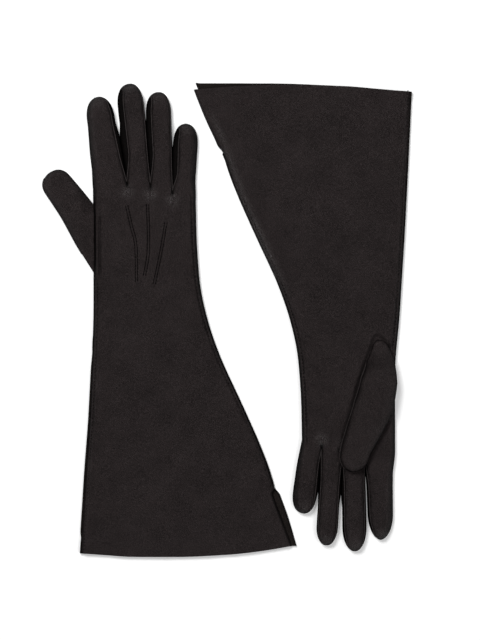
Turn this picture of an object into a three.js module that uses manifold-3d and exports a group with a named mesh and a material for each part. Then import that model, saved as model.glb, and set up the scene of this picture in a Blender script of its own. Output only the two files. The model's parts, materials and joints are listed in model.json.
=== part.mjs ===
// A pair of long leather dress gloves, each with a flared gauntlet cuff. They lie flat, head to tail.
// The right glove lies back up with its thumb out to the side. The left glove lies palm up with its
// thumb folded over the palm.
//
// Millimetres, +Z up, z = 0 is the surface that the gloves lie on. Each glove is drawn in a frame of
// its own, as a right glove: +Y runs from the hem to the fingertips, +X from the thumb side to the
// little finger's side, +Z out of its back, and z = 0 is midway between its back and its palm.
// The left glove is the same drawing mirrored in X.

import Module from 'manifold-3d';
import * as THREE from 'three';
import { mergeVertices } from 'three/addons/utils/BufferGeometryUtils.js';

const wasm = await Module();
wasm.setup();

// Driving dimensions
const leather = 1; // thickness of the leather, with its inside face
const gap = 0.3; // left between neighbouring pieces
const halfThickness = 5; // from the middle of a glove to the outside of its back or palm
const seamInset = 0.5; // from the outline of a panel in to its side wall
const tipSegments = 6; // steps in a quarter of a round tip
const tipLength = 0.85; // of a fingertip's taper, in finger widths
const tipBluntness = 2.3; // exponent of the tip's curve, 2 for an ellipse

const wristY = 212; // the bend between gauntlet and hand, from the lowest point of the hem
const ventY = 65; // top of the slit in the little finger's side of the gauntlet
const hemDepth = 14; // width of the turned-in hem
const ventLap = 4; // how far the palm stands out past the back along the slit

// A panel stops this far short of a bend's axis, so that what turns about the axis clears it.
const palmRelief = halfThickness + 0.4;
const backRelief = 4.7;
const tabMargin = 0.3; // how much wider than a finger the hand's edge behind it is, each side
const rollAngle = THREE.MathUtils.degToRad(40); // how far a leaf's base rolls in round the bend's axis

const thumbHalfThickness = 4.5;
const pointWidth = 2.4;
const pointHeight = 1.9; // of a tuck's ridge, which stands in its slot in the back
const pointProud = 0.9; // how far the ridges stand out where nothing presses them flush

// The little finger's side of the leather, upwards from the hem, as [x, y].
const littleSideEdge = [
  [141.8, 11.2], [121.5, 65], [117.6, 81], [106.5, 108.8], [89.7, 146], [72.1, 183.2], [61.8, 211],
  [56.7, 230], [52.5, 248.3], [50.7, 267], [48.8, 295], [47.9, 329],
];

// Leans are in degrees from +Y towards the little finger's side; widths are at the base, 2/5 and 5/7
// of the length. The four knuckles bend about parallel axes, square to the knuckle lean, so that
// fingers which are spread when straight stay spread when they fold. The hem and the thumb side's
// edge are [x, y] lines, and slim says how much narrower the little finger's side lies.
const gloves = {
  right: {
    mirror: 1,
    place: [-78, -220.85, halfThickness],
    turn: 0,
    hemLine: [[-12.6, 0.2], [43.2, 0.2], [89.7, 2.8], [117.6, 6.5]],
    thumbSideEdge: [
      [-59.3, 3.7], [-54.4, 81], [-50.7, 127.4], [-47.9, 183.2], [-46.5, 225], [-46.5, 267],
      [-47, 340],
    ],
    slim: 0,
    knuckleLean: -3.2,
    fingers: {
      index: { base: [-30.7, 344.1], lean: -8.2, length: 85.2, widths: [30.4, 29, 25.5] },
      middle: { base: [-4.2, 344.1], lean: -5.8, length: 97.2, widths: [20.4, 22.6, 24] },
      ring: { base: [16.6, 341.3], lean: -2.2, length: 91.7, widths: [19.4, 21.8, 23] },
      little: { base: [36.7, 332.9], lean: 2.3, length: 70.8, widths: [19.4, 21.4, 22.4] },
    },
  },
  left: {
    mirror: -1,
    place: [112.1, 220.85, halfThickness],
    turn: Math.PI,
    hemLine: [[1.8, 2.8], [52, 0.7], [95, 0.2], [125, 2]],
    thumbSideEdge: [
      [-59.3, 8.4], [-56.4, 69.8], [-53.1, 133.9], [-47.5, 222.3], [-43.8, 255.8], [-43.6, 267],
      [-43.6, 340],
    ],
    slim: 5.6,
    knuckleLean: 2,
    fingers: {
      index: { base: [-28.6, 344.1], lean: -1.5, length: 81.5, widths: [26.4, 23, 22.5] },
      middle: { base: [-5, 344.1], lean: -0.8, length: 92, widths: [19.2, 21.6, 22.4] },
      ring: { base: [14.9, 341.3], lean: 3.5, length: 89.4, widths: [18.6, 18.8, 19.5] },
      little: { base: [34, 332.9], lean: 6.5, length: 68.4, widths: [18.2, 22, 22.5] },
    },
  },
};

// Which sides of a finger are sewn to a fourchette, the strip between two fingers. The others are
// sewn edge to edge. -1 is the thumb side and 1 the little finger's side.
const fingerSides = {
  index: { '-1': 'seam', 1: 'fourchette' },
  middle: { '-1': 'thumb_side_fourchette', 1: 'little_side_fourchette' },
  ring: { '-1': 'thumb_side_fourchette', 1: 'little_side_fourchette' },
  little: { '-1': 'fourchette', 1: 'seam' },
};

// The right thumb lies out to the side of the hand. In its frame x runs along the edge of the palm
// that it bends about, towards the fingertips, and y straight out from the palm.
const sideThumb = {
  hinge: [-48.6, 296],
  baseFrom: -25.4,
  baseTo: 30,
  outerStart: [48.1, 43.4],
  innerStart: [60.2, 22.5],
  tipCentre: [50.4, 31.5],
};

// The left thumb lies on the palm, pointing the way the fingers do. The hole in the palm that it is
// sewn into is under its lower part.
const foldedThumb = {
  base: [-29.9, 247.4],
  lean: 13.8,
  length: 116.8,
  widths: [24, 35, 34],
  tipLength: 0.6,
  holeFrom: 8,
  holeTo: 46,
  holeHalfWidth: 10.5,
};

// The raised tucks on the back, called points, from knuckle end to wrist end.
const points = {
  index_point: [[-15.7, 327.4], [-7, 288.3], [-6.5, 253.9]],
  middle_point: [[3.7, 328.3], [4.2, 280.9], [0.5, 260.4]],
  ring_point: [[20.9, 311.6], [9.3, 251.1]],
};

const colours = { back: 0x2b2625, palm: 0x262221, fourchette: 0x1f1b1a, seam: 0x35302e, hem: 0x3a3431 };

const group = new THREE.Group();

function addMesh(parent, name, geometry, colour) {
  const material = new THREE.MeshStandardMaterial({ color: colour, roughness: 0.5, metalness: 0 });
  const mesh = new THREE.Mesh(geometry, material);
  mesh.name = name;
  parent.add(mesh);
}

// The outline, mirrored for a left glove, as a plate from z = low to z = high.
function plate(outline, mirror, low, high, holes = []) {
  const toVector = ([x, y]) => new THREE.Vector2(mirror * x, y);
  const shape = new THREE.Shape(outline.map(toVector));
  const outlineClockwise = THREE.ShapeUtils.isClockWise(shape.getPoints());
  for (const hole of holes) {
    // A hole runs round the other way from its outline.
    const rim = hole.map(toVector);
    const sameWay = THREE.ShapeUtils.isClockWise(rim) === outlineClockwise;
    shape.holes.push(new THREE.Path(sameWay ? rim.reverse() : rim));
  }
  const geometry = new THREE.ExtrudeGeometry(shape, { depth: high - low, bevelEnabled: false });
  geometry.translate(0, 0, low);
  return geometry;
}

// A sheet rolled round the x axis from one angle to another, from x = from to x = to.
function roll(mirror, radius, fromAngle, toAngle, from, to) {
  const shape = new THREE.Shape();
  shape.absarc(0, 0, radius, fromAngle, toAngle, toAngle < fromAngle);
  shape.absarc(0, 0, radius - leather, toAngle, fromAngle, toAngle > fromAngle);
  const geometry = new THREE.ExtrudeGeometry(shape, {
    depth: to - from,
    bevelEnabled: false,
    curveSegments: 2,
  });
  const acrossFirst = new THREE.Matrix4().makeBasis(
    new THREE.Vector3(0, 1, 0),
    new THREE.Vector3(0, 0, 1),
    new THREE.Vector3(1, 0, 0),
  );
  geometry.applyMatrix4(acrossFirst);
  geometry.translate(mirror > 0 ? from : -to, 0, 0);
  return geometry;
}

function toManifold(geometry) {
  const bare = geometry.clone();
  bare.deleteAttribute('normal');
  bare.deleteAttribute('uv');
  const merged = mergeVertices(bare);
  const vertProperties = new Float32Array(merged.attributes.position.array);
  const triVerts = new Uint32Array(merged.index.array);
  return new wasm.Manifold(new wasm.Mesh({ numProp: 3, vertProperties, triVerts }));
}

function fuse(geometries) {
  const [first, ...others] = geometries.map(toManifold);
  const joined = others.reduce((sum, other) => sum.add(other), first).getMesh();
  const geometry = new THREE.BufferGeometry();
  geometry.setAttribute('position', new THREE.BufferAttribute(joined.vertProperties, 3));
  geometry.setIndex(new THREE.BufferAttribute(joined.triVerts, 1));
  geometry.computeVertexNormals();
  return geometry;
}

// A line shifted to its left, square to its direction at each point.
function shifted(line, distance) {
  return line.map(([x, y], i) => {
    const before = line[Math.max(i - 1, 0)];
    const after = line[Math.min(i + 1, line.length - 1)];
    const run = Math.hypot(after[0] - before[0], after[1] - before[1]);
    return [
      x - (distance * (after[1] - before[1])) / run,
      y + (distance * (after[0] - before[0])) / run,
    ];
  });
}

// A wall of leather standing between back and palm, inside an edge line whose inside is on its left.
function wall(line, mirror, halfHeight) {
  const outline = [...shifted(line, seamInset), ...shifted(line, seamInset + leather).reverse()];
  return plate(outline, mirror, -halfHeight, halfHeight);
}

// The part of an edge line between two heights, with points at both ends.
function between(line, fromY, toY) {
  const at = (y) => {
    const i = line.findIndex((point, k) => k > 0 && (point[1] >= y || k === line.length - 1));
    const [x0, y0] = line[i - 1];
    const [x1, y1] = line[i];
    return [x0 + ((x1 - x0) * (y - y0)) / (y1 - y0), y];
  };
  return [at(fromY), ...line.filter(([, y]) => y > fromY + 1 && y < toY - 1), at(toY)];
}

// One side of a finger, from its base to the middle of its tip.
function fingerSide(finger, side, inset, tipGap) {
  const [base, low, high] = finger.widths;
  const taper = (finger.tipLength ?? tipLength) * high;
  const tipHalf = high / 2 - inset;
  const tipRise = taper - inset;
  const tipStart = finger.length - taper;
  const power = 2 / tipBluntness;
  const line = [
    [side * (base / 2 - inset), 0],
    [side * (low / 2 - inset), (2 / 5) * finger.length],
  ];
  const lastAngle = Math.acos((tipGap / tipHalf) ** (1 / power));
  for (let i = 0; i <= tipSegments; i += 1) {
    const angle = (i / tipSegments) * lastAngle;
    const across = Math.max(Math.cos(angle), 0) ** power;
    line.push([side * tipHalf * across, tipStart + tipRise * Math.sin(angle) ** power]);
  }
  return line;
}

function fingerOutline(finger) {
  return [...fingerSide(finger, 1, 0, 0), ...fingerSide(finger, -1, 0, 0).reverse().slice(1)];
}

// The outline of the strip of leather that closes one side of a finger between its two leaves.
function stripOutline(finger, side) {
  const outer = fingerSide(finger, side, seamInset, gap / 2);
  const inner = fingerSide(finger, side, seamInset + leather, gap / 2);
  return [...outer, ...inner.reverse()];
}

// A line turned about the origin from +Y towards +X.
function turned(line, degrees) {
  const angle = THREE.MathUtils.degToRad(degrees);
  return line.map(([x, y]) => [
    x * Math.cos(angle) + y * Math.sin(angle),
    y * Math.cos(angle) - x * Math.sin(angle),
  ]);
}

// A group whose origin is on a bend's axis, with x along the axis and y towards the free end.
function bendFrame(parent, mirror, [x, y], lean, z) {
  const frame = new THREE.Group();
  frame.position.set(mirror * x, y, z);
  frame.rotation.z = -mirror * THREE.MathUtils.degToRad(lean);
  parent.add(frame);
  return frame;
}

function addFinger(parent, side, glove, name) {
  const finger = glove.fingers[name];
  const { mirror } = glove;
  const frame = bendFrame(parent, mirror, finger.base, glove.knuckleLean, 0);
  frame.name = `${side}_${name}_bend`;
  const lean = finger.lean - glove.knuckleLean;
  const outline = turned(fingerOutline(finger), lean);
  const half = halfThickness;
  const rollHalf = finger.widths[0] / 2 - 0.5;
  const palm = fuse([
    plate(outline, mirror, -half, -half + leather),
    roll(mirror, half, -Math.PI / 2, -Math.PI / 2 - rollAngle, -rollHalf, rollHalf),
  ]);
  addMesh(frame, `${side}_${name}_back`, plate(outline, mirror, half - leather, half), colours.back);
  addMesh(frame, `${side}_${name}_palm`, palm, colours.palm);
  const stripHalf = half - leather - gap;
  for (const edge of [-1, 1]) {
    const kind = fingerSides[name][edge];
    const colour = kind === 'seam' ? colours.seam : colours.fourchette;
    const strip = plate(turned(stripOutline(finger, edge), lean), mirror, -stripHalf, stripHalf);
    addMesh(frame, `${side}_${name}_${kind}`, strip, colour);
  }
}

// The two ends of a finger's base line, set back from its bend into the hand.
function knuckleLine(finger, knuckleLean, setBack) {
  const lean = THREE.MathUtils.degToRad(knuckleLean);
  const [x, y] = finger.base;
  return [-1, 1].map((edge) => {
    const across = edge * (finger.widths[0] / 2 + tabMargin);
    return [
      x + across * Math.cos(lean) - setBack * Math.sin(lean),
      y - across * Math.sin(lean) - setBack * Math.cos(lean),
    ];
  });
}

// The little finger's side, moved in above the slit.
function slimmed(line, inward) {
  return line.map(([x, y]) => [x - inward * THREE.MathUtils.smoothstep(y, 0, ventY), y]);
}

function addHand(parent, side, glove, edges) {
  const { mirror, fingers, knuckleLean } = glove;
  const half = halfThickness;
  const order = ['index', 'middle', 'ring', 'little'];
  const outline = (setBack, thumbSide) => [
    ...between(edges.littleSide, wristY, 329 - setBack).slice(0, -1),
    ...order.flatMap((name) => knuckleLine(fingers[name], knuckleLean, setBack)).reverse(),
    ...thumbSide,
  ];
  const thumbSideLine = between(edges.thumbSide, wristY, 334).reverse().slice(1);
  const [wristLeft, wristRight] = [edges.thumbSide, edges.littleSide].map(
    (line) => between(line, wristY, 300)[0][0],
  );
  const rollFrom = wristLeft + seamInset;
  const rollTo = wristRight - seamInset;
  const wristRoll = (start, end) => {
    const geometry = roll(mirror, half, start, end, rollFrom, rollTo);
    geometry.translate(0, wristY, 0);
    return geometry;
  };

  const slots = Object.values(points).map((line) => pointOutline(line, gap));
  const backOutline = outline(backRelief, thumbSideLine);
  const backPlate = plate(backOutline, mirror, half - leather, half, slots);
  const backRoll = wristRoll(Math.PI / 2, Math.PI / 2 + rollAngle);
  addMesh(parent, `${side}_hand_back`, fuse([backPlate, backRoll]), colours.back);

  let palmSideLine = thumbSideLine;
  const holes = [];
  if (side === 'right') {
    // The thumb's root takes a bite out of the thumb side of the palm.
    const [hingeX, hingeY] = sideThumb.hinge;
    const biteX = hingeX + palmRelief;
    palmSideLine = [
      [biteX - 1, hingeY + sideThumb.baseTo + 7],
      [biteX, hingeY + sideThumb.baseTo + 2],
      [biteX, hingeY + sideThumb.baseFrom - 2],
      ...between(edges.thumbSide, wristY, hingeY + sideThumb.baseFrom - 5).reverse(),
    ];
  } else {
    holes.push(thumbHole());
  }
  const palmOutline = outline(palmRelief, palmSideLine);
  const palmPlate = plate(palmOutline, mirror, -half, -half + leather, holes);
  const palmRoll = wristRoll(-Math.PI / 2, -Math.PI / 2 - rollAngle);
  addMesh(parent, `${side}_hand_palm`, fuse([palmPlate, palmRoll]), colours.palm);

  const wallHalf = half - leather - gap;
  const littleWall = wall(between(edges.littleSide, wristY, 329 - palmRelief), mirror, wallHalf);
  addMesh(parent, `${side}_hand_little_side_seam`, littleWall, colours.seam);
  const wallTop = side === 'right' ? sideThumb.hinge[1] + sideThumb.baseFrom - 3 : 338;
  const thumbWall = wall(between(edges.thumbSide, wristY, wallTop).reverse(), mirror, wallHalf);
  addMesh(parent, `${side}_hand_thumb_side_seam`, thumbWall, colours.seam);
}

// The oval hole in the palm under the folded thumb, in the glove's frame.
function thumbHole() {
  const lean = THREE.MathUtils.degToRad(foldedThumb.lean);
  const { base, holeFrom, holeTo, holeHalfWidth } = foldedThumb;
  const middle = (holeFrom + holeTo) / 2;
  const halfLength = (holeTo - holeFrom) / 2;
  const ring = new THREE.EllipseCurve(0, middle, holeHalfWidth, halfLength).getPoints(16).slice(1);
  return ring.map(({ x, y }) => [
    base[0] + x * Math.cos(lean) + y * Math.sin(lean),
    base[1] - x * Math.sin(lean) + y * Math.cos(lean),
  ]);
}

// The outline of a point, wider by margin all round. Its ends taper.
function pointOutline(line, margin) {
  const start = line[0];
  const end = line[line.length - 1];
  const middle = line.length > 2 ? line.slice(1, -1) : [toward(start, end, 1 / 2)];
  // The ends move out four times as far as the sides, because they are sharp.
  const run = Math.hypot(middle[0][0] - start[0], middle[0][1] - start[1]);
  const stretch = (-4 * margin) / run;
  const first = toward(start, middle[0], stretch);
  const last = toward(end, middle[middle.length - 1], stretch);
  const spine = [first, ...middle, last];
  const left = shifted(spine, pointWidth / 2 + margin).slice(1, -1);
  const right = shifted(spine, -pointWidth / 2 - margin).slice(1, -1);
  return [first, ...left, last, ...right.reverse()];
}

// The point that is a share of the way from one point to another.
function toward(from, to, share) {
  return from.map((value, i) => value + share * (to[i] - value));
}

function addPoints(parent, side, mirror) {
  // The left glove lies on its back, which presses the ridges flush.
  const top = halfThickness + (side === 'right' ? pointProud : 0);
  for (const [name, line] of Object.entries(points)) {
    const ridge = plate(pointOutline(line, 0), mirror, top - pointHeight, top);
    addMesh(parent, `${side}_${name}`, ridge, colours.seam);
  }
}

function addGauntlet(parent, side, glove, edges) {
  const { mirror, hemLine } = glove;
  const half = halfThickness;
  const panel = (top, lap) => {
    const littleSide = between(edges.littleSide, edges.littleSide[0][1], top);
    const lapped = littleSide.map(([x, y]) => (y < ventY ? [x - lap, y] : [x, y]));
    const thumbSide = between(edges.thumbSide, edges.thumbSide[0][1], top);
    return [...lapped, ...thumbSide.reverse(), ...hemLine];
  };
  const back = plate(panel(wristY - palmRelief, ventLap), mirror, half - leather, half);
  addMesh(parent, `${side}_gauntlet_back`, back, colours.back);
  const palm = plate(panel(wristY - palmRelief, 0), mirror, -half, -half + leather);
  addMesh(parent, `${side}_gauntlet_palm`, palm, colours.palm);

  const wallHalf = half - leather - gap;
  const wallTop = wristY - palmRelief;
  const littleWall = wall(between(edges.littleSide, ventY, wallTop), mirror, wallHalf);
  addMesh(parent, `${side}_gauntlet_little_side_seam`, littleWall, colours.seam);
  const bottom = edges.thumbSide[0][1];
  const thumbLine = between(edges.thumbSide, bottom, wallTop).reverse();
  addMesh(parent, `${side}_gauntlet_thumb_side_seam`, wall(thumbLine, mirror, wallHalf), colours.seam);

  // The hem is turned in along the mouth, round the thumb side, and stops at the slit.
  const inset = seamInset + leather + gap;
  const hemTop = (line, shift) => between(line, line[0][1], line[0][1] + hemDepth).map(
    ([x, y]) => [x + shift, y],
  );
  const strip = [
    ...hemTop(edges.littleSide, -inset - ventLap),
    ...[...hemLine].reverse().map(([x, y]) => [x, y + hemDepth]),
    ...hemTop(edges.thumbSide, inset).reverse(),
    ...hemLine,
  ];
  const turn = [...hemTop(edges.thumbSide, inset), ...hemTop(edges.thumbSide, inset + leather).reverse()];
  const hem = fuse([
    plate(strip, mirror, wallHalf - leather, wallHalf),
    plate(strip, mirror, -wallHalf, -wallHalf + leather),
    plate(turn, mirror, -wallHalf, wallHalf),
  ]);
  addMesh(parent, `${side}_hem`, hem, colours.hem);
}

function addSideThumb(parent, side) {
  const { hinge, baseFrom, baseTo, outerStart, innerStart, tipCentre } = sideThumb;
  const frame = bendFrame(parent, 1, hinge, -90, 0);
  frame.name = `${side}_thumb_bend`;
  const angleOf = ([x, y]) => Math.atan2(y - tipCentre[1], x - tipCentre[0]);
  const radius = Math.hypot(innerStart[0] - tipCentre[0], innerStart[1] - tipCentre[1]);
  const tip = new THREE.EllipseCurve(
    ...tipCentre, radius, radius, angleOf(innerStart), angleOf(outerStart) + 0.3,
  );
  const tipPoints = tip.getPoints(2 * tipSegments).map(({ x, y }) => [x, y]);
  const edgeLine = [[baseTo, 0], ...tipPoints, [baseFrom, 1.6]];
  const outline = [...edgeLine, [baseFrom, 0]];
  const half = halfThickness;
  const palm = fuse([
    plate(outline, 1, -half, -half + leather),
    roll(1, half, -Math.PI / 2, -Math.PI / 2 - rollAngle, baseFrom + 1, baseTo - 1),
  ]);
  const wallHalf = half - leather;
  const backWall = [...shifted(edgeLine, 0), ...shifted(edgeLine, leather).reverse()];
  const back = fuse([
    plate(outline, 1, half - leather, half),
    plate(backWall, 1, -wallHalf + gap, half - leather / 2),
  ]);
  addMesh(frame, `${side}_thumb_back`, back, colours.back);
  addMesh(frame, `${side}_thumb_palm`, palm, colours.palm);
}

function addFoldedThumb(parent, side, mirror) {
  const thumb = foldedThumb;
  const half = thumbHalfThickness;
  const z = -halfThickness - 0.4 - half;
  const frame = bendFrame(parent, mirror, thumb.base, thumb.lean, z);
  frame.name = `${side}_thumb_bend`;
  const outline = fingerOutline(thumb);
  const rollHalf = thumb.widths[0] / 2 - 0.5;
  const rim = [...outline, ...shifted(outline, leather).reverse()];
  const outer = fuse([
    plate(outline, mirror, -half, -half + leather),
    plate(rim, mirror, -half + leather / 2, half - leather - gap),
    roll(mirror, half, -Math.PI / 2, -Math.PI / 2 - 3 * rollAngle, -rollHalf, rollHalf),
  ]);
  addMesh(frame, `${side}_thumb_palm`, outer, colours.palm);
  // The leaf that lies on the palm starts above the hole.
  const leafY = thumb.holeTo + 3;
  const leafHalf = thumb.widths[1] / 2;
  const leaf = [[leafHalf, leafY], ...outline.filter(([, y]) => y > leafY), [-leafHalf, leafY]];
  addMesh(frame, `${side}_thumb_back`, plate(leaf, mirror, half - leather, half), colours.back);
}

for (const [side, glove] of Object.entries(gloves)) {
  const whole = new THREE.Group();
  whole.position.set(...glove.place);
  whole.rotation.x = glove.turn;
  group.add(whole);
  const edges = {
    thumbSide: glove.thumbSideEdge,
    littleSide: slimmed(littleSideEdge, glove.slim),
  };
  addGauntlet(whole, side, glove, edges);
  addHand(whole, side, glove, edges);
  addPoints(whole, side, glove.mirror);
  for (const name of Object.keys(glove.fingers)) addFinger(whole, side, glove, name);
  if (side === 'right') addSideThumb(whole, side);
  else addFoldedThumb(whole, side, glove.mirror);
}

export default group;
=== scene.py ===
import json
import math

import bpy
import numpy as np
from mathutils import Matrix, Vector

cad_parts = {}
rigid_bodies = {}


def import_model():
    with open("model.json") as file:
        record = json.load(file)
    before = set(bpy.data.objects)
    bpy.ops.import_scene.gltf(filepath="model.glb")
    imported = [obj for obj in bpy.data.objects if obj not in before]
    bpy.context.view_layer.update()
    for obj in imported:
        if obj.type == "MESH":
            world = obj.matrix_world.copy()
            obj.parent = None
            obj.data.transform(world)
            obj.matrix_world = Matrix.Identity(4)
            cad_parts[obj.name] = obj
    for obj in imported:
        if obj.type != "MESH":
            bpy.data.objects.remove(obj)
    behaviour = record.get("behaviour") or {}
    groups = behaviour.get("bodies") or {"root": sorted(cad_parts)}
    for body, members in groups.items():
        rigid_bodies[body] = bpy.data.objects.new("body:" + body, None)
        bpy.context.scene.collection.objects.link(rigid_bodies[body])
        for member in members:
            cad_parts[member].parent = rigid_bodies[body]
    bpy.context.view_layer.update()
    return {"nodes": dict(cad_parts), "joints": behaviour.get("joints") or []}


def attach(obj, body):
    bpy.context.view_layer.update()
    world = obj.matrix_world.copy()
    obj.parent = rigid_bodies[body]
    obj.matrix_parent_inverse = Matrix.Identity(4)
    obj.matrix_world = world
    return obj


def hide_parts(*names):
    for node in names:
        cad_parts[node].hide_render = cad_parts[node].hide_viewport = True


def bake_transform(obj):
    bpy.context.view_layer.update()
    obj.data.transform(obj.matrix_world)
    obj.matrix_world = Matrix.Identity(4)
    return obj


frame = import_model()

# All lengths below are in millimetres, in a glove's own frame: a right glove with +y from the hem to
# the fingertips and +x from the thumb side to the little finger's side. Heights are above the floor.
MM = 0.001
FINGERS = ("index", "middle", "ring", "little")
WRIST_Y = 212.0
WRIST_MIDDLE_X = 5.0
BEND_FROM, BEND_TO = 212.0, 246.0  # the leather between these bends with the wrist
BAND_FROM, BAND_TO = 208.0, 250.0  # and is a piece of its own between these
KNUCKLE_BEND = 24.0  # length of leather that bends over a knuckle
KNUCKLE_EASE = 22.0  # length over which a finger's outline leaves the line of the knuckles
VENT_Y = 65.0  # the top of the slit on the little finger's side
SKIN = 0.9  # thickness of the leather
HEM_SKIN = 1.7  # and where it is turned in
FLOOR_GAP = 0.6  # from the surface to the face that lies on it
SEAM_INSET = 3.4  # of the sewn line from an edge that is sewn flat
TUCK_WIDTH = 1.5  # of the ridges on the back
WELT_RADIUS = 0.55  # of the rolled edges of the fingers' seams

# The edge on the little finger's side, from the hem to the knuckles.
LITTLE_EDGE = (
    (141.8, 11.2), (121.5, 65), (117.6, 81), (106.5, 108.8), (89.7, 146), (72.1, 183.2),
    (61.8, 211), (56.7, 230), (52.5, 248.3), (50.7, 267), (48.8, 295), (47.9, 345),
)
VENT_LAP = 4.0  # how far the back stays in from the edge along the slit
VENT_STEP = 2.8  # and how far the palm stands out from it
HEM_DEPTH = 14.0  # how deep the leather is turned in along the mouth
TIP_TAPER = 0.85  # length of a fingertip's round end, in finger widths
TIP_POWER = 2.3  # how blunt it is, 2 for an ellipse
TIP_ROWS = 26  # rows of the mesh over it

# For each finger: how many degrees it leans from +y towards the little finger's side, its length, its
# widths at the base, 2/5 and 7/10 of the length, and how wide the strips between the fingers
# (fourchettes) show beside the leaf on the side that faces up, thumb side first. slim says how much
# narrower than LITTLE_EDGE the little finger's side lies above the slit.
GLOVES = {
    "right": {
        "sign": 1, "up": "back", "slim": 0.0,
        "thumb_edge": (
            (-59.3, 3.7), (-54.4, 81), (-50.7, 127.4), (-47.9, 183.2), (-46.5, 225), (-46.5, 267),
            (-47, 345),
        ),
        "hem": {
            "back": ((-59.3, 3.7), (-12.6, 0.3), (43.2, 0.3), (89.7, 2.8), (117.6, 6.5), (141.8, 11.2)),
            "palm": ((-59.3, 3.7), (-12.6, 0.4), (43.2, 0.4), (89.7, 2.8), (117.6, 6.5), (141.8, 11.2)),
        },
        "tips": {},
        "index": (-8.2, 84.8, (30.4, 29.0, 25.5), (0.0, 2.6)),
        "middle": (-5.8, 96.6, (20.4, 22.6, 24.0), (5.6, 0.6)),
        "ring": (-2.2, 91.2, (19.4, 21.8, 23.0), (4.8, 0.6)),
        "little": (2.3, 70.3, (19.4, 21.4, 22.4), (5.0, 0.0)),
    },
    "left": {
        "sign": -1, "up": "palm", "slim": 5.6,
        "thumb_edge": (
            (-59.3, 8.4), (-56.4, 69.8), (-53.1, 133.9), (-47.5, 222.3), (-43.9, 255.8), (-43.6, 267),
            (-43.6, 345),
        ),
        "hem": {
            "back": ((-59.3, 8.4), (1.8, 2.8), (52.0, 0.5), (95.0, 0.2), (137.0, 0.2)),
            "palm": ((-59.3, 8.4), (1.8, 3.0), (60.0, 1.8), (105.0, 3.2), (141.3, 6.6)),
        },
        "tips": {"index": (1.05, 1.95), "middle": (1.0, 2.05), "ring": (0.9, 2.1)},
        "index": (-1.5, 81.0, (26.4, 24.0, 23.2), (0.0, 2.0)),
        "middle": (-0.8, 91.6, (19.2, 21.6, 22.0), (1.6, 2.0)),
        "ring": (3.5, 89.0, (18.6, 18.8, 19.5), (1.2, 1.2)),
        "little": (7.0, 68.0, (18.2, 21.2, 22.0), (1.6, 0.0)),
    },
}
# Which way each thumb leaves its bend, in degrees from +y, and how much of it bends.
THUMB_BENDS = {"right": (-90.0, 15.0), "left": (13.8, 24.0)}
# How far up from the crotches neighbouring fingers touch.
TOUCHING = {"right": (52.0, 63.0, 45.0), "left": (22.0, 44.0, 46.0)}
HIDDEN_STRIPS = {"index": (0.0, 2.0), "middle": (2.0, 2.0), "ring": (2.0, 2.0), "little": (2.0, 0.0)}

joints = {joint["name"]: joint for joint in frame["joints"]}


# ---------------------------------------------------------------- outlines and heights


def smooth_line(points, step=1.0, spread=9.0):
    """x as a function of y through the points, with its corners rounded over about spread mm."""
    xs, ys = np.array(points, float).T
    order = np.argsort(ys)
    pad = 60.0
    y = np.arange(ys.min() - pad, ys.max() + pad, step)
    rough = np.interp(y, ys[order], xs[order])
    for end, away in ((0, -1), (-1, 1)):
        a, b = order[end], order[1 if end == 0 else -2]
        slope = (xs[a] - xs[b]) / (ys[a] - ys[b])
        outside = away * (y - ys[a]) > 0
        rough[outside] = xs[a] + slope * (y[outside] - ys[a])
    kernel = np.exp(-0.5 * (np.arange(-3 * spread, 3 * spread + step, step) / spread) ** 2)
    smooth = np.convolve(rough, kernel / kernel.sum(), mode="same")
    inner = slice(int(2 * spread), -int(2 * spread))
    y, smooth = y[inner], smooth[inner]
    return lambda at: np.interp(at, y, smooth)


def smoothstep(value, low, high):
    t = np.clip((value - low) / (high - low), 0, 1)
    return t * t * (3 - 2 * t)


def ripple(x, y, wavelength, seed, count=9):
    """A smooth uneven pattern between about -1 and 1 with bumps about a wavelength apart."""
    rng = np.random.RandomState(seed)
    total = np.zeros(np.broadcast(x, y).shape)
    for _ in range(count):
        turn = rng.uniform(0, 2 * math.pi)
        length = wavelength * rng.uniform(0.7, 1.5)
        phase = rng.uniform(0, 2 * math.pi)
        total = total + np.cos((x * math.cos(turn) + y * math.sin(turn)) * 2 * math.pi / length + phase)
    return total / math.sqrt(count)


def nearest(points, line):
    """Distance from each point to a polyline, how far along it that is, and which side (+1 left)."""
    best = np.full(len(points), 1e9)
    along = np.zeros(len(points))
    side = np.ones(len(points))
    done = 0.0
    for a, b in zip(line[:-1], line[1:]):
        a, b = np.array(a, float), np.array(b, float)
        run = np.hypot(*(b - a))
        if run < 1e-9:
            continue
        t = np.clip(((points - a) @ (b - a)) / run**2, 0, 1)
        gap = points - (a + t[:, None] * (b - a))
        d = np.hypot(gap[:, 0], gap[:, 1])
        closer = d < best
        best[closer] = d[closer]
        along[closer] = done + t[closer] * run
        cross = (b - a)[0] * gap[:, 1] - (b - a)[1] * gap[:, 0]
        side[closer] = np.sign(cross[closer])
        done += run
    return best, along, side


def curve_through(points, count=40):
    """A smooth line through a few points (Catmull-Rom)."""
    p = np.array([points[0], *points, points[-1]], float)
    out = []
    for i in range(1, len(p) - 2):
        for t in np.linspace(0, 1, count, endpoint=False):
            a, b, c, d = p[i - 1], p[i], p[i + 1], p[i + 2]
            out.append(0.5 * (2 * b + (c - a) * t + (2 * a - 5 * b + 4 * c - d) * t**2
                              + (3 * b - a - 3 * c + d) * t**3))
    out.append(p[-2])
    return np.array(out)


# ---------------------------------------------------------------- one glove's skin

COLUMNS = {"index": 36, "middle": 30, "ring": 30, "little": 30}
# Rows of the mesh in each part of a sheet and in each finger.
ROWS = (("gauntlet", 110), ("wrist", 40), ("hand", 104))
FINGER_ROWS = 84
EDGE_STEPS = 5  # points round an edge between its upper and lower line

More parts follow.
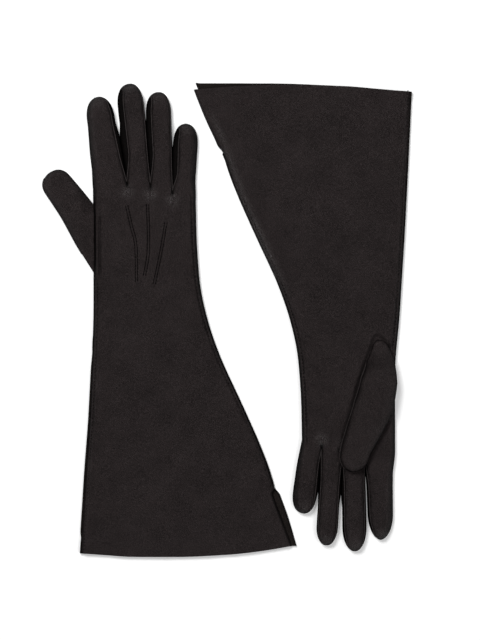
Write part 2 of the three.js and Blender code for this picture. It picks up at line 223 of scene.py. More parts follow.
# The three tucks on the back of the hand, each from the fingers towards the wrist.
POINTS = {
    "index": ((-15.9, 328.4), (-11.2, 308), (-7, 289.2), (-6.5, 253.9)),
    "middle": ((3.7, 329.4), (4.6, 305), (4.2, 280.9), (0.5, 260.4)),
    "ring": ((21.0, 312.6), (16.0, 283), (9.3, 251.1)),
}


class Glove:
    """The measures of one glove, in its own frame."""

    def __init__(self, side):
        spec = GLOVES[side]
        self.side, self.sign, self.up = side, spec["sign"], spec["up"]
        wrist = np.array(joints[f"{side}_wrist"]["pos_m"][:2]) / MM
        self.origin = wrist - self.sign * np.array([WRIST_MIDDLE_X, WRIST_Y])
        self.thumb_edge, little_line = smooth_line(spec["thumb_edge"]), smooth_line(LITTLE_EDGE)
        self.little_edge = lambda y: little_line(y) - spec["slim"] * smoothstep(y, 0, VENT_Y)
        self.hem = spec["hem"]
        self.fingers = {}
        for name in FINGERS:
            joint = joints[f"{side}_{name}"]
            base = self.sign * (np.array(joint["pos_m"][:2]) / MM - self.origin)
            degrees, length, widths, strips = spec[name]
            lean = math.radians(degrees)
            along = np.array([math.sin(lean), math.cos(lean)])
            across = np.array([math.cos(lean), -math.sin(lean)])
            self.fingers[name] = {
                "base": base, "along": along, "across": across, "length": length,
                "widths": widths, "strips": strips,
                "tip": spec["tips"].get(name, (TIP_TAPER, TIP_POWER)),
            }
        self.corners = self.knuckle_corners()

    def thumb_bend(self):
        """Where the leather starts to bend with the thumb, and where it has bent all the way."""
        start = self.sign * (np.array(joints[f"{self.side}_thumb"]["pos_m"][:2]) / MM - self.origin)
        degrees, reach = THUMB_BENDS[self.side]
        lean = math.radians(degrees)
        return start, start + reach * np.array([math.sin(lean), math.cos(lean)])

    def knuckle_corners(self):
        """The ends of the slits between the fingers, with the two outer corners."""
        ends = []
        for name in FINGERS:
            f = self.fingers[name]
            half = f["widths"][0] / 2
            ends.append((f["base"] - half * f["across"], f["base"] + half * f["across"]))
        first, last = ends[0][0], ends[-1][1]
        first = np.array([self.thumb_edge(first[1]), first[1]])
        last = np.array([self.little_edge(last[1]), last[1]])
        inner = [(a[1] + b[0]) / 2 for a, b in zip(ends[:-1], ends[1:])]
        return [first, *inner, last]

    def world(self, points):
        """Points in the glove's frame, with heights, as metres in the row frame."""
        out = np.array(points, float)
        out[:, :2] = self.origin + self.sign * out[:, :2]
        return out * MM


def tip_start(finger):
    return finger["length"] - finger["tip"][0] * finger["widths"][2]


def plan_half(finger, s):
    """Half the width of a finger in plan, with its round tip, at distances s from its base."""
    base, low, high = finger["widths"]
    start = tip_start(finger)
    stations = [0, 0.4 * finger["length"], 0.7 * finger["length"], finger["length"]]
    body = np.interp(s, stations, [base / 2, low / 2, high / 2, high / 2])
    into = np.clip((s - start) / (finger["length"] - start), 0, 1)
    power = finger["tip"][1]
    return body * np.clip(1 - into**power, 0, 1) ** (1 / power)


def finger_rows(finger):
    """Distances from the base of the rows of a finger, closer together at the tip."""
    start = tip_start(finger)
    straight = np.linspace(0, start, FINGER_ROWS - TIP_ROWS)[1:]
    turn = np.sin(np.linspace(0, 0.462 * math.pi, TIP_ROWS + 1))[1:] ** (2 / finger["tip"][1])
    return np.concatenate([straight, start + (finger["length"] - start) * turn])


def leaf_grid(glove, name, face):
    """Plan positions of a leaf's grid, base row left out, and the plan outline beside each row."""
    finger = glove.fingers[name]
    rows = finger_rows(finger)
    half = plan_half(finger, rows)
    strips = finger["strips"] if face == glove.up else HIDDEN_STRIPS[name]
    ramp = smoothstep(rows, 0, 0.42 * finger["length"])
    fade = 1 - 0.75 * smoothstep(rows, finger["length"] - 12, finger["length"])
    left = -half + np.minimum(strips[0] * ramp * fade, 0.45 * half)
    right = half - np.minimum(strips[1] * ramp * fade, 0.45 * half)
    t = np.linspace(0, 1, COLUMNS[name] + 1)
    across = left[:, None] * (1 - t) + right[:, None] * t
    plan = (finger["base"] + across[..., None] * finger["across"]
            + rows[:, None, None] * finger["along"])
    i = FINGERS.index(name)
    a, b = glove.corners[i], glove.corners[i + 1]
    knuckle = a[None, :] * (1 - t)[:, None] + b[None, :] * t[:, None]
    square_base = finger["base"] + (t[:, None] - 0.5) * finger["widths"][0] * finger["across"]
    share = (1 - smoothstep(rows, 0, KNUCKLE_EASE))[:, None, None]
    plan = plan + share * (knuckle - square_base)[None]
    outer = [finger_side(glove, i, -1, rows), finger_side(glove, i, 1, rows)]
    # The fourchettes of neighbouring fingers touch for the lower part of their length.
    for side, (me, other) in enumerate(((i, i - 1), (i, i + 1))):
        if 0 <= other < len(FINGERS):
            facing = finger_side(glove, other, 1 if side == 0 else -1, rows)
            between = facing - outer[side]
            reach = TOUCHING[glove.side][min(me, other)]
            share = 1 - smoothstep(rows, reach - 8, reach + 10)
            wide = np.hypot(*between.T)
            near = np.clip(0.5 - 0.15 / np.maximum(wide, 0.3), 0, 0.5)
            outer[side] = outer[side] + (share * near)[:, None] * between
    return plan, outer


def finger_side(glove, i, edge, rows):
    """The outline of one side of a finger beside the rows of a grid."""
    finger = glove.fingers[FINGERS[i]]
    half = plan_half(finger, rows)
    corner = glove.corners[i if edge < 0 else i + 1]
    square = finger["base"] + edge * finger["widths"][0] / 2 * finger["across"]
    share = (1 - smoothstep(rows, 0, KNUCKLE_EASE))[:, None]
    line = finger["base"] + (edge * half)[:, None] * finger["across"] + rows[:, None] * finger["along"]
    return line + share * (corner - square)


def body_grid(glove, face):
    """Plan positions of a sheet from the hem to the knuckles, and the row each part ends at."""
    columns = sum(COLUMNS.values())
    t = np.linspace(0, 1, columns + 1)
    knuckle = []
    for i, name in enumerate(FINGERS):
        u = np.linspace(0, 1, COLUMNS[name] + 1)[(0 if i == 0 else 1):]
        knuckle.append(glove.corners[i] * (1 - u)[:, None] + glove.corners[i + 1] * u[:, None])
    knuckle = np.concatenate(knuckle)
    # The hem, with its corners rounded over a fifth of its width.
    samples, window = 200, 41
    hx, hy = np.array(glove.hem[face]).T
    hem_y = np.interp(np.linspace(hx[0], hx[-1], samples), hx, hy)
    kernel = np.hanning(window)
    hem_y = np.convolve(np.pad(hem_y, window // 2, mode="edge"), kernel / kernel.sum(), mode="valid")
    hem = np.interp(t, np.linspace(0, 1, samples), hem_y)
    levels = [hem, np.full(columns + 1, BAND_FROM), np.full(columns + 1, BAND_TO), knuckle[:, 1]]
    rows_y = []
    for (low, high), (_, count) in zip(zip(levels[:-1], levels[1:]), ROWS):
        u = np.linspace(0, 1, count + 1)[:-1]
        rows_y.append(low[None] * (1 - u)[:, None] + high[None] * u[:, None])
    y = np.concatenate([*rows_y, knuckle[None, :, 1]])
    left = glove.thumb_edge(y[:, 0])
    right = glove.little_edge(y[:, -1])
    low = 1 - smoothstep(y[:, -1], VENT_Y - 7, VENT_Y)
    if face == "back":
        right = right - VENT_LAP * low
    else:
        right = right + VENT_STEP * low * smoothstep(y[:, -1], 0, 45)
    knuckle_share = (knuckle[:, 0] - knuckle[0, 0]) / (knuckle[-1, 0] - knuckle[0, 0])
    mix = smoothstep(y.mean(axis=1), 120, 330)[:, None]
    share = t[None] * (1 - mix) + knuckle_share[None] * mix
    x = left[:, None] + share * (right - left)[:, None]
    plan = np.stack([x, y], axis=2)
    plan[-1] = knuckle
    ends = np.cumsum([count for _, count in ROWS])
    return plan, ends


def thickness(glove, y):
    """How thick the glove lies, from the floor to its top."""
    hem, wrist, hand = 5.2, 7.6, 9.0
    low = hem + (wrist - hem) * smoothstep(y, 20, 190)
    return low + (hand - wrist) * smoothstep(y, 190, 300)


def bell(distance, width):
    return np.exp(-((distance / width) ** 2))


def face_relief(glove, face, p):
    """Seams, tucks and unevenness of a face, as mm outwards."""
    x, y = p[:, 0], p[:, 1]
    seed = 3 if face == "back" else 40
    out = 0.30 * ripple(x, y, 46, seed) + 0.10 * ripple(x, y, 17, seed + 1)
    from_thumb = x - glove.thumb_edge(y)
    from_little = glove.little_edge(y) - x
    if face == "back":
        from_little = from_little - VENT_LAP * (1 - smoothstep(y, VENT_Y - 9, VENT_Y))
        for line in POINTS.values():
            path = curve_through(line)
            d, along, _ = nearest(p, path)
            length = np.hypot(*np.diff(path, axis=0).T).sum()
            fade = smoothstep(along, -0.1, 6) * smoothstep(length - along, -0.1, 10)
            out += fade * (0.45 * bell(d, 6.0) - 0.45 * bell(d, 1.3))
    # The leather is gathered where the fingers part.
    for corner in glove.corners[1:-1]:
        away = np.hypot(x - corner[0], y - corner[1] + 6)
        out += bell(away, 5.0) * (0.5 + 0.5 * ripple(x, 0.5 * y, 4.2, seed + 2))
    pucker = ripple(0.6 * x, y, 5.0, seed + 8)
    sewn = np.where(y < 262, 1.0, 0.0) if face == "back" else 1 - smoothstep(y, 262, 285)
    for distance, reach in ((from_thumb, sewn), (from_little, smoothstep(y, VENT_Y - 4, VENT_Y + 6))):
        seam = -0.60 * bell(distance - SEAM_INSET, 0.8) + 0.32 * bell(distance - SEAM_INSET - 2.2, 1.2)
        out += reach * (seam + 0.30 * pucker * bell(distance - SEAM_INSET - 1, 3.2))
    if glove.side == "left" and face == "palm":
        d, _, _ = nearest(p, curve_through(THUMB_CREASE, 8))
        out -= 1.9 * bell(d, 2.8)
    if glove.side == "right" and face == "back":
        # The back is sewn to the thumb's gusset in a seam beside the thumb.
        beside = smoothstep(y, 250, 268) * (1 - smoothstep(y, 316, 326))
        out += beside * (-1.1 * bell(from_thumb - 5.8, 0.9) + 0.5 * bell(from_thumb - 3.2, 1.0))
        out += beside * (-0.8 * bell(from_thumb - 1.0, 0.8) + 0.35 * bell(from_thumb - 8.5, 1.6))
    return out


def finger_relief(name, face, s, t):
    """Small cross creases and unevenness on a finger's leaf; t runs from -1 to 1 across it."""
    seed = FINGERS.index(name) * 7 + (1 if face == "back" else 2)
    return 0.20 * ripple(s, t * 8, 17, seed) + 0.08 * ripple(s, t * 11, 6, seed + 50)


class Skin:
    """The outer surface of a glove: vertices, faces, each face's part, and what each is made of."""

    def __init__(self, glove):
        self.glove = glove
        self.blocks, self.faces, self.parts, self.kinds = [], [], [], []
        self.count = 0
        self.sheets, self.leaves, self.plans, self.fields = {}, {}, {}, {}
        lower_face = "palm" if glove.up == "back" else "back"
        for upper, face in ((True, glove.up), (False, lower_face)):
            self.add_sheet(upper, face)
        self.add_sides()
        self.add_finger_edges()
        self.vertices = np.concatenate(self.blocks)
        self.faces = np.concatenate(self.faces)
        self.parts, self.kinds = np.array(self.parts), np.array(self.kinds)

    def add(self, points):
        self.blocks.append(points)
        index = np.arange(self.count, self.count + len(points))
        self.count += len(points)
        return index

    def add_faces(self, index, flip, part, kind):
        """The quads of a grid of vertex numbers."""
        a, b, c, d = index[:-1, :-1], index[:-1, 1:], index[1:, 1:], index[1:, :-1]
        quads = np.stack([a, b, c, d], axis=-1).reshape(-1, 4)
        self.faces.append(quads[:, ::-1] if flip else quads)
        self.parts.extend([part] * len(quads))
        self.kinds.extend([kind] * len(quads))

    def at(self, index):
        return np.concatenate(self.blocks)[index]

    def height(self, upper, plan, finger=None):
        face, points, kinds = self.fields[upper]
        return height_of(self.glove, plan, points, kinds, upper, face, finger)

    def add_sheet(self, upper, face):
        glove = self.glove
        plan, self.ends = body_grid(glove, face)
        rows, columns = plan.shape[:2]
        grids = {name: leaf_grid(glove, name, face) for name in FINGERS}
        self.plans[upper] = plan
        self.fields[upper] = (face, *boundary(glove, plan, grids))
        index = self.add(self.height(upper, plan.reshape(-1, 2))).reshape(rows, columns)
        self.sheets[upper] = index
        start = 0
        for (part, _), end in zip(ROWS, self.ends):
            self.add_faces(index[start:end + 1], not upper, part, face)
            start = end
        first = 0
        for name in FINGERS:
            leaf, outer = grids[name]
            rows, columns = leaf.shape[:2]
            leaf_index = self.add(self.height(upper, leaf.reshape(-1, 2), name))
            base = index[-1, first:first + columns]
            whole = np.concatenate([base[None], leaf_index.reshape(rows, columns)])
            self.add_faces(whole, not upper, name, face)
            self.leaves[upper, name] = (whole, outer)
            first += columns - 1

    def edge_band(self, tops, bottoms, outers, part, kind, flip, first=None, last=None):
        """A strip of leather between an upper and a lower line, bulging to a plan line."""
        top, bottom = self.at(tops), self.at(bottoms)
        middle = (top[:, :2] + bottom[:, :2]) / 2
        between = []
        for step in range(1, EDGE_STEPS + 1):
            u = step / (EDGE_STEPS + 1)
            bulge = math.sin(math.pi * u)
            xy = top[:, :2] * (1 - u) + bottom[:, :2] * u + (outers - middle) * bulge
            z = top[:, 2] + (bottom[:, 2] - top[:, 2]) * (1 - math.cos(math.pi * u)) / 2
            between.append(np.column_stack([xy, z]))
        block = np.stack(between, axis=1)
        lines = np.empty((len(tops), EDGE_STEPS + 2), int)
        lines[:, 0], lines[:, -1] = tops, bottoms
        own = np.ones(len(tops), bool)
        for row, shared in ((0, first), (-1, last)):
            if shared is not None:
                own[row] = False
                lines[row, 1:-1] = shared
        lines[own, 1:-1] = self.add(block[own].reshape(-1, 3)).reshape(-1, EDGE_STEPS)
        self.add_faces(lines, flip, part, kind)
        return lines

    def add_sides(self):
        """The two long sides of hand and gauntlet; the little finger's side is open along the slit."""
        up, low, plan = self.sheets[True], self.sheets[False], self.plans[True]
        self.side_ends = {}
        for column, away in ((0, -1), (-1, 1)):
            start, shared = 0, None
            outer = push(plan[:, column], away, 0.35)
            for (part, _), end in zip(ROWS, self.ends):
                first = start
                if away > 0 and part == "gauntlet":
                    first = int(np.argmax(plan[:, column, 1] > VENT_Y))
                rows = slice(first, end + 1)
                lines = self.edge_band(up[rows, column], low[rows, column], outer[rows], part, "edge",
                                       away < 0, first=shared)
                shared = lines[-1, 1:-1]
                start = end
            self.side_ends[away] = shared

    def add_finger_edges(self):
        """Round each finger: up its thumb side, over the tip and down the other side."""
        previous = self.side_ends[-1]
        knuckles = self.plans[True][-1]
        first = 0
        for name in FINGERS:
            upper, outer = self.leaves[True, name]
            lower, _ = self.leaves[False, name]
            last = first + COLUMNS[name]
            sides = [np.concatenate([knuckles[corner][None], push(line, away, 0.3)])
                     for corner, line, away in ((first, outer[0], -1), (last, outer[1], 1))]
            left = self.edge_band(upper[:, 0], lower[:, 0], sides[0], name,
                                  "edge" if name == "index" else "strip", True, first=previous)
            right = self.edge_band(upper[:, -1], lower[:, -1], sides[1], name,
                                   "edge" if name == "little" else "strip", False,
                                   first=self.side_ends[1] if name == "little" else None)
            tip = self.at(upper[-1])[:, :2] + 0.55 * self.glove.fingers[name]["along"]
            self.edge_band(upper[-1], lower[-1], tip, name, "edge", True,
                           first=left[-1, 1:-1], last=right[-1, 1:-1])
            previous = right[0, 1:-1]
            first = last


def push(line, away, distance):
    """A plan line moved sideways."""
    run = np.gradient(line, axis=0)
    normal = np.stack([run[:, 1], -run[:, 0]], axis=1)
    normal /= np.linalg.norm(normal, axis=1)[:, None]
    return line + away * distance * normal


def boundary(glove, plan, grids):
    """Where a sheet stops: points along its edges, and whether a fourchette (1) or a fold (0) is
    there."""
    points, kinds = [], []
    for column in (0, -1):
        points.append(plan[:, column])
        open_edge = (plan[:, column, 1] < VENT_Y) & (column == -1)
        kinds.append(np.where(open_edge, 0.5, 0.0))
    for name in FINGERS:
        leaf, _ = grids[name]
        for column, edge in ((0, "index"), (-1, "little")):
            line = leaf[:, column]
            points.append(line)
            kinds.append(np.full(len(line), 0.0 if name == edge else 1.0))
        points.append(leaf[-1])
        kinds.append(np.full(leaf.shape[1], 0.5))
    for corner in glove.corners[1:-1]:
        points.append(corner[None])
        kinds.append(np.ones(1))
    return np.concatenate(points), np.concatenate(kinds)


def height_of(glove, p, seam_points, seam_kinds, upper, face, finger=None):
    """A sheet's plan positions with their heights."""
    distance = np.zeros(len(p))
    kind = np.zeros(len(p))
    at_once = 2000
    for start in range(0, len(p), at_once):
        chosen = slice(start, start + at_once)
        part = p[chosen]
        gaps = np.hypot(part[:, None, 0] - seam_points[None, :, 0],
                        part[:, None, 1] - seam_points[None, :, 1])
        closest = gaps.min(axis=1)
        distance[chosen] = closest
        weight = np.exp(-(gaps - closest[:, None]) / 1.2)
        kind[chosen] = (weight * seam_kinds).sum(axis=1) / weight.sum(axis=1)
    thick = thickness(glove, p[:, 1])
    middle = 0.42 * thick
    fold_radius, finger_radius = 5.0, 8.0
    if finger is None:
        relief = face_relief(glove, face, p)
        radius = fold_radius
        top = thick
    else:
        f = glove.fingers[finger]
        s = (p - f["base"]) @ f["along"]
        t = (p - f["base"]) @ f["across"] / (f["widths"][1] / 2)
        relief = finger_relief(finger, face, s, t) * smoothstep(s, 0, 8)
        # The gathers and the tucks' ends run on over the knuckles.
        relief = relief + face_relief(glove, face, p) * (1 - smoothstep(s, 0, 8))
        grow = smoothstep(s, 0, 20)
        radius = fold_radius + (finger_radius - fold_radius) * grow
        top = thick + 0.6 * grow
    profile = np.sqrt(np.clip(1 - (1 - np.clip(distance / radius, 0, 1)) ** 2, 0, 1))
    inside = relief * smoothstep(distance, 0, 2.2)
    if upper:
        edge = middle + kind * (0.74 * top - middle)
        height = edge + (top - edge) * profile + inside
    else:
        edge = middle - kind * (middle - 0.28 * top)
        # The side that lies on the surface is pressed flat.
        height = edge + (FLOOR_GAP - edge) * profile - np.clip(0.5 * inside, -0.6, FLOOR_GAP - 0.2)
    return np.column_stack([p, height])


def vertex_normals(vertices, faces):
    a, b, c, d = (vertices[faces[:, i]] for i in range(4))
    face_normal = np.cross(c - a, d - b)
    normals = np.zeros_like(vertices)
    for i in range(4):
        np.add.at(normals, faces[:, i], face_normal)
    return normals / np.maximum(np.linalg.norm(normals, axis=1), 1e-12)[:, None]


def mesh_object(name, vertices, faces, normals, slots, wear_and_painted_highlight=0.0, raised=False):
    """A smooth mesh with what its leather needs: where it lay, how it sloped (for the painted shade on
    steep places), and its painted highlights and wear.
    """
    mesh = bpy.data.meshes.new(name)
    mesh.from_pydata(vertices.tolist(), [], faces.tolist())
    mesh.update()
    for material in LEATHERS:
        mesh.materials.append(material)
    mesh.polygons.foreach_set("material_index", np.asarray(slots, np.int32))
    mesh.polygons.foreach_set("use_smooth", np.ones(len(faces), bool))
    attribute = mesh.attributes.new("rest", "FLOAT_VECTOR", "POINT")
    attribute.data.foreach_set("vector", (vertices / MM).astype(np.float32).ravel())
    # How steeply each point slopes drives the painted shade in the leather; raised pieces get none.
    slope = np.sqrt(np.clip(1 - normals[:, 2] ** 2, 0, 1)) * (0.0 if raised else 1.0)
    for kind, values in (("slope", slope), ("wear_and_painted_highlight", np.broadcast_to(wear_and_painted_highlight, len(vertices)))):
        attribute = mesh.attributes.new(kind, "FLOAT", "POINT")
        attribute.data.foreach_set("value", values.astype(np.float32))
    mesh.normals_split_custom_set_from_vertices(normals.tolist())
    piece = bpy.data.objects.new(name, mesh)
    bpy.context.scene.collection.objects.link(piece)
    return piece


def skin_piece(name, skin, part, world, normals):
    """One part of a skin, with the inside of the leather and its cut or turned edges."""
    chosen = skin.parts == part
    quads = skin.faces[chosen]
    used, compact = np.unique(quads, return_inverse=True)
    quads = compact.reshape(-1, 4)
    outer, outer_normals = world[used], normals[used]
    turned_in = skin.vertices[used][:, 1:2] < HEM_DEPTH
    inner = outer - np.where(turned_in, HEM_SKIN, SKIN) * MM * outer_normals
    n = len(used)
    edges = np.concatenate([quads[:, [i, (i + 1) % 4]] for i in range(4)])
    _, first, counts = np.unique(np.sort(edges, axis=1), axis=0, return_index=True, return_counts=True)
    rim = edges[first[counts == 1]]
    rims = np.column_stack([rim[:, 1], rim[:, 0], rim[:, 0] + n, rim[:, 1] + n])
    # Faces of the strip kind take the fourchettes' near-black colour, which is painted shade between the
    # fingers.
    outside = np.where(skin.kinds[chosen] == "strip", SHADE_PAINTED_STRIP, GRAIN)
    slots = np.concatenate([outside, np.full(len(quads), FLESH), np.full(len(rims), GRAIN)])
    plan = skin.vertices[used][:, :2]
    # Painted highlights: lighter colour and more specular below each crotch and near each fingertip.
    wear_and_painted_highlight = sum(bell(np.hypot(*(plan - corner + [0, 5.5]).T), 5.0) for corner in skin.glove.corners[1:-1])
    for finger in skin.glove.fingers.values():
        tip = finger["base"] + (finger["length"] - 6) * finger["along"]
        wear_and_painted_highlight = wear_and_painted_highlight + 0.3 * bell(np.hypot(*(plan - tip).T), 5.0)
    if skin.glove.side == "left":
        # This cuff is rubbed beside the seam on its little finger's side.
        x, y = plan.T
        rubbed = smoothstep(y, 20, 50) * (1 - smoothstep(y, 150, 215))
        wear_and_painted_highlight = wear_and_painted_highlight + 0.7 * rubbed * bell(skin.glove.little_edge(y) - x - 5.0, 3.0)
    return mesh_object(name, np.concatenate([outer, inner]),
                       np.concatenate([quads, quads[:, ::-1] + n, rims]),
                       np.concatenate([outer_normals, -outer_normals]), slots,
                       np.concatenate([wear_and_painted_highlight, 0 * wear_and_painted_highlight]))


# ---------------------------------------------------------------- thumbs, welts, tucks and thread


def along_line(points, step):
    """A polyline in 2 or 3 dimensions as evenly spaced points."""
    points = np.array(points, float)
    runs = np.concatenate([[0], np.cumsum(np.linalg.norm(np.diff(points, axis=0), axis=1))])
    at = np.linspace(0, runs[-1], max(int(runs[-1] / step), 2) + 1)
    return np.stack([np.interp(at, runs, points[:, i]) for i in range(points.shape[1])], axis=1)


def tube(path, half_width, half_height, around=8, power=2.0, taper=None):
    """A closed tube along a path in 3 dimensions, flattened between its two half sizes."""
    path = np.asarray(path, float)
    run = np.gradient(path, axis=0)
    run /= np.linalg.norm(run, axis=1)[:, None]
    side = np.cross(run, [0, 0, 1.0])
    side /= np.linalg.norm(side, axis=1)[:, None]
    up = np.cross(side, run)
    turn = np.linspace(0, 2 * math.pi, around, endpoint=False)
    across = np.sign(np.cos(turn)) * np.abs(np.cos(turn)) ** (2 / power)
    rise = np.sign(np.sin(turn)) * np.abs(np.sin(turn)) ** (2 / power)
    if taper is None:
        taper = np.ones(len(path))
        taper[[0, -1]] = 0.35
    width = np.broadcast_to(half_width, len(path)) * taper
    height = np.broadcast_to(half_height, len(path)) * taper
    rings = (path[:, None] + (width[:, None] * across)[..., None] * side[:, None]
             + (height[:, None] * rise)[..., None] * up[:, None])
    index = np.arange(len(path) * around).reshape(len(path), around)
    index = np.concatenate([index, index[:, :1]], axis=1)
    a, b, c, d = index[:-1, :-1], index[:-1, 1:], index[1:, 1:], index[1:, :-1]
    quads = np.stack([a, d, c, b], axis=-1).reshape(-1, 4)
    fans = [(0, i, i + 1, i + 2) for i in range(1, around - 2, 2)]
    last = (len(path) - 1) * around
    caps = np.array(fans + [tuple(last + k for k in fan[::-1]) for fan in fans])
    return rings.reshape(-1, 3), np.concatenate([quads, caps])


def joined(tubes):
    """Several tubes as one mesh."""
    vertices, faces, count = [], [], 0
    for points, quads in tubes:
        vertices.append(points)
        faces.append(quads + count)
        count += len(points)
    return np.concatenate(vertices), np.concatenate(faces)


def tube_object(name, glove, tubes, slot):
    """A piece made of tubes, all of one leather or thread."""
    vertices, faces = joined(tubes)
    world = glove.world(vertices)
    normals = vertex_normals(world, faces)
    return mesh_object(name, world, faces, normals, np.full(len(faces), slot), raised=True)


def on_skin(skin, line, upper, lift):
    """A plan line laid on the skin, and lifted off it."""
    points = skin.height(upper, line)
    points[:, 2] += lift if upper else -lift
    return points


def stitches(skin, line, upper, length, space, radius, lift):
    """Short threads along a plan line on the skin."""
    points = on_skin(skin, along_line(line, 0.25), upper, lift)
    runs = np.concatenate([[0], np.cumsum(np.linalg.norm(np.diff(points, axis=0), axis=1))])
    starts = np.arange(0.5 * space, runs[-1] - length, length + space)
    out = []
    for start in starts:
        at = np.linspace(start, start + length, 5)
        path = np.stack([np.interp(at, runs, points[:, i]) for i in range(3)], axis=1)
        sink = np.array([0.9, 0.15, 0, 0.15, 0.9]) * radius
        path[:, 2] -= sink if upper else -sink
        out.append(tube(path, radius, radius, around=6, taper=np.array([0.6, 1, 1, 1, 0.6])))
    return out


RIGHT_THUMB = (  # centre line, with the width there
    (-30.0, 273.5, 37.5), (-47.2, 299.0, 35.2), (-63.8, 325.0, 31.2), (-80.4, 347.4, 28.0),
    (-88.0, 357.6, 26.5),
)
LEFT_THUMB = (
    (-27.5, 239.5, 10.0), (-29.6, 247.5, 17.0), (-30.2, 258.5, 25.5), (-28.6, 277.1, 33.8),
    (-23.4, 300.4, 36.6), (-14.2, 323.6, 32.6), (-7.0, 342.2, 28.6), (-2.8, 361.2, 26.0),
)
# Where the folded thumb presses the palm down, round its root and along its inner side.
THUMB_CREASE = (
    (-44.0, 262.0), (-36.5, 246.5), (-27.0, 237.0), (-22.5, 246.5), (-12.5, 275.0), (-5.0, 303.0),
    (5.2, 337.0), (9.0, 350.0),
)


def thumb_shape(glove):
    """The thumb's centre line and half sizes, from inside the hand to the tip."""
    stations = np.array(RIGHT_THUMB if glove.side == "right" else LEFT_THUMB)
    fine = along_line(curve_through(stations[:, :2]), 1.4)
    coarse = np.concatenate([[0], np.cumsum(np.hypot(*np.diff(stations[:, :2], axis=0).T))])
    runs = np.concatenate([[0], np.cumsum(np.hypot(*np.diff(fine, axis=0).T))])
    half = np.interp(runs * coarse[-1] / runs[-1], coarse, stations[:, 2]) / 2
    total = runs[-1]
    rise = 13.0 if glove.side == "right" else 17.0
    # More rings towards the round tip.
    bend = np.sin(np.linspace(0, 0.47 * math.pi, 22))[1:] ** (2 / TIP_POWER)
    at = np.concatenate([runs[runs < total - rise], total - rise + rise * bend])
    if glove.side == "left":
        root = 6.0
        at = np.concatenate([root - root * bend[::-1], at[at > root]])
    plan = np.stack([np.interp(at, runs, fine[:, i]) for i in range(2)], axis=1)
    half = np.interp(at, runs, half)
    into = np.clip((at - total + rise) / rise, 0, 1)
    closing = np.clip(1 - into**TIP_POWER, 0, 1) ** (1 / TIP_POWER)
    if glove.side == "left":
        into = np.clip((root - at) / root, 0, 1)
        closing *= np.clip(1 - into**TIP_POWER, 0, 1) ** (1 / TIP_POWER)
    return plan, half, closing, at, total


def thumb_mesh(glove):
    """A thumb's vertices and faces, and the line along its side from near its root to its tip."""
    plan, half, closing, at, total = thumb_shape(glove)
    around, section_power = 44, 2.3
    path = np.column_stack([plan, np.zeros(len(plan))])
    vertices, faces = tube(path, half, 1.0, around, section_power, taper=closing)
    if glove.side == "right":
        out = glove.thumb_edge(vertices[:, 1]) - vertices[:, 0]
        middle = 3.3 + 1.0 * smoothstep(out, -1, 14)
        thick = 1.5 + 2.35 * smoothstep(out, 0, 15)
    else:
        s = np.repeat(at, around)
        middle = 8.0 + 5.4 * smoothstep(s, 2, 42)
        thick = 1.8 + 3.0 * smoothstep(s, 2, 34)
    ring_closing = np.repeat(np.maximum(closing, 0.05), around)
    unit = vertices[:, 2] / ring_closing
    vertices[:, 2] = middle + thick * unit * ring_closing ** 0.75
    normals = vertex_normals(vertices, faces)
    seed = 71 if glove.side == "right" else 83
    relief = 0.22 * ripple(vertices[:, 0], vertices[:, 1], 19, seed)
    relief += 0.08 * ripple(vertices[:, 0], vertices[:, 1], 6, seed + 1)
    vertices += (relief * smoothstep(np.abs(unit), 0.2, 0.8))[:, None] * normals
    rings = vertices.reshape(len(plan), around, 3)
    beside = around // 2 if glove.side == "right" else 0
    return vertices, faces, rings[(at > 22) & (at < total - 1), beside]


# ---------------------------------------------------------------- materials


